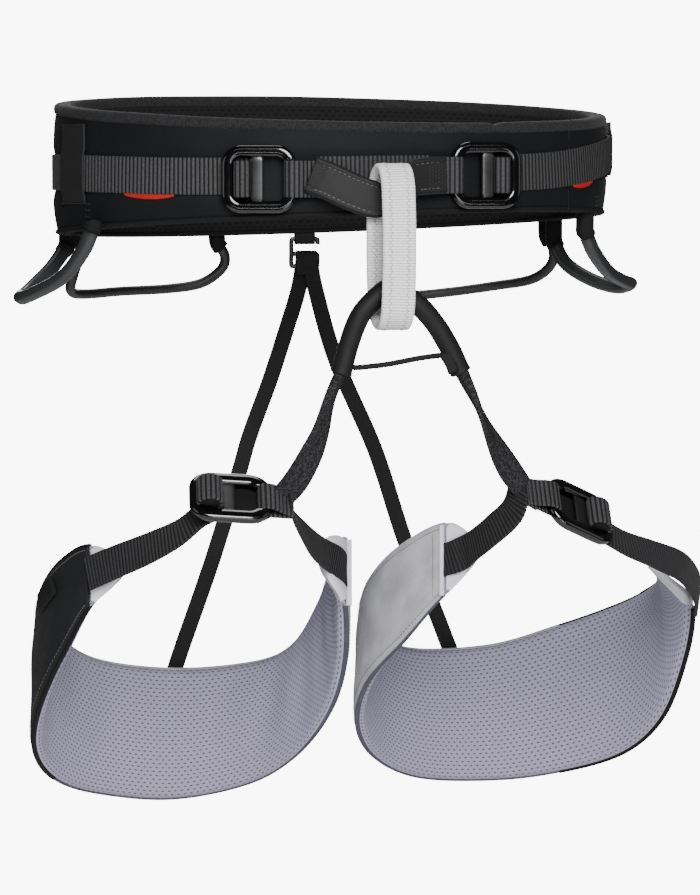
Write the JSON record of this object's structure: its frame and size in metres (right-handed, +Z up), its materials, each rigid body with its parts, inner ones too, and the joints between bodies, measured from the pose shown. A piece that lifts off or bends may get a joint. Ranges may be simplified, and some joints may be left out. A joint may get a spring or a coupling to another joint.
{
  "type": "climbing harness",
  "caption": "Climbing harness with a padded waist belt, belay loop, sleeved leg bridge, adjustable mesh-lined leg loops, elastic risers and moulded gear loops.",
  "frame": {"origin": "middle of the waist opening, at half the height of the belt", "axes": "+X to the right as seen from in front, +Y to the back, +Z up through the waist opening"},
  "size_m": [0.3895, 0.2399, 0.4112],
  "materials": {
    "shell_fabric": "smooth coated weave, dull sheen",
    "spacer_mesh": "matte perforated mesh",
    "binding": "knitted edge binding",
    "webbing": "ribbed woven webbing",
    "elastic": "flat woven elastic",
    "wear_mark": "woven red tape",
    "buckle_metal": "gloss black coat on forged aluminium",
    "bar_metal": "satin dark grey coat",
    "tie_in_sleeve": "smooth woven sleeve with stitched edges",
    "belay_webbing": "ribbed white webbing with stitching",
    "gear_loop_plastic": "satin moulded",
    "bridge_cover": "smooth tubular sleeve",
    "mesh_tape": "speckled knitted tape",
    "leg_mesh": "lavender grey perforated spacer mesh",
    "leg_panel_fabric": "light grey woven fabric",
    "tip_fabric": "white grey moulded fabric",
    "hook_plastic": "moulded"
  },
  "bodies": {
    "waist_belt": {"belt_shell": "shell_fabric", "belt_lining": "spacer_mesh", "belt_rim": "binding", "belt_hem": "binding", "left_waist_webbing": "webbing", "centre_webbing": "webbing", "right_waist_webbing": "webbing", "left_keeper": "elastic", "right_keeper": "elastic", "left_wear_mark": "wear_mark", "right_wear_mark": "wear_mark", "left_sewn_loop": "webbing", "right_sewn_loop": "webbing", "tie_in_loop": "tie_in_sleeve", "hook_keeper": "elastic"},
    "leg_loops": {"bridge_tube": "bridge_cover", "bridge_webbing": "mesh_tape", "bridge_cord": "elastic", "left_bridge_strap": "mesh_tape", "right_bridge_strap": "mesh_tape", "left_inner_strap": "webbing", "right_inner_strap": "webbing", "left_leg_sewn_loop": "webbing", "right_leg_sewn_loop": "webbing", "left_outer_strap": "webbing", "right_outer_strap": "webbing", "left_leg_pad": "leg_mesh", "left_leg_shell": "shell_fabric", "left_leg_panel": "leg_panel_fabric", "left_outer_tip": "tip_fabric", "left_inner_tip": "tip_fabric", "right_leg_pad": "leg_mesh", "right_leg_shell": "shell_fabric", "right_leg_panel": "leg_panel_fabric", "right_outer_tip": "tip_fabric", "right_inner_tip": "tip_fabric", "left_leg_tab": "elastic", "right_leg_tab": "elastic", "riser_hook": "hook_plastic", "left_riser": "elastic", "right_riser": "elastic"},
    "belay_loop": {"belay_loop": "belay_webbing"},
    "left_waist_buckle": {"left_buckle_frame": "buckle_metal", "left_buckle_bar": "bar_metal", "left_buckle_turn": "webbing"},
    "right_waist_buckle": {"right_buckle_frame": "buckle_metal", "right_buckle_bar": "bar_metal", "right_buckle_turn": "webbing"},
    "left_leg_buckle": {"left_leg_buckle_frame": "buckle_metal", "left_leg_buckle_bar": "bar_metal", "left_leg_buckle_turn": "webbing"},
    "right_leg_buckle": {"right_leg_buckle_frame": "buckle_metal", "right_leg_buckle_bar": "bar_metal", "right_leg_buckle_turn": "webbing"},
    "front_left_gear_loop": {"front_left_gear_loop": "gear_loop_plastic"},
    "front_right_gear_loop": {"front_right_gear_loop": "gear_loop_plastic"},
    "rear_left_gear_loop": {"rear_left_gear_loop": "gear_loop_plastic"},
    "rear_right_gear_loop": {"rear_right_gear_loop": "gear_loop_plastic"}
  },
  "joints": [
    {"name": "leg_loops_sway", "type": "hinge", "parent": "waist_belt", "child": "leg_loops", "pos_m": [0.007, -0.1203, -0.0646], "axis": [-0.034, 0.9947, 0.0971], "range_deg": [-4, 4]},
    {"name": "belay_loop_swing", "type": "hinge", "parent": "waist_belt", "child": "belay_loop", "pos_m": [0.007, -0.1163, -0.018], "axis": [1, 0, 0], "range_deg": [-2, 2]},
    {"name": "left_waist_buckle_tilt", "type": "hinge", "parent": "waist_belt", "child": "left_waist_buckle", "pos_m": [-0.04417, -0.10466, -0.0075], "axis": [0, 0, 1], "range_deg": [0, 25]},
    {"name": "right_waist_buckle_tilt", "type": "hinge", "parent": "waist_belt", "child": "right_waist_buckle", "pos_m": [0.04466, -0.10313, -0.0055], "axis": [0, 0, -1], "range_deg": [0, 25]},
    {"name": "left_leg_buckle_tilt", "type": "hinge", "parent": "leg_loops", "child": "left_leg_buckle", "pos_m": [-0.05944, -0.11214, -0.17714], "axis": [0.0982, 0.7611, 0.6412], "range_deg": [0, 25]},
    {"name": "right_leg_buckle_tilt", "type": "hinge", "parent": "leg_loops", "child": "right_leg_buckle", "pos_m": [0.09657, -0.11163, -0.17917], "axis": [-0.0807, -0.7298, -0.6789], "range_deg": [0, 25]},
    {"name": "front_left_gear_loop_flex", "type": "hinge", "parent": "waist_belt", "child": "front_left_gear_loop", "pos_m": [-0.144, -0.05, -0.034], "axis": [-0.0484, 0.9912, -0.1233], "range_deg": [-20, 40], "stiffness_Nm_per_rad": 0.12},
    {"name": "front_right_gear_loop_flex", "type": "hinge", "parent": "waist_belt", "child": "front_right_gear_loop", "pos_m": [0.133, -0.04, -0.036], "axis": [0.0553, 0.9946, -0.0884], "range_deg": [-20, 40], "stiffness_Nm_per_rad": 0.12},
    {"name": "rear_left_gear_loop_flex", "type": "hinge", "parent": "waist_belt", "child": "rear_left_gear_loop", "pos_m": [-0.053, 0.097, -0.0448], "axis": [-0.904, -0.4274, 0.0088], "range_deg": [-15, 40], "stiffness_Nm_per_rad": 0.12},
    {"name": "rear_right_gear_loop_flex", "type": "hinge", "parent": "waist_belt", "child": "rear_right_gear_loop", "pos_m": [0.136, 0.06, -0.041], "axis": [-0.9106, 0.4119, -0.0325], "range_deg": [-15, 40], "stiffness_Nm_per_rad": 0.12}
  ]
}
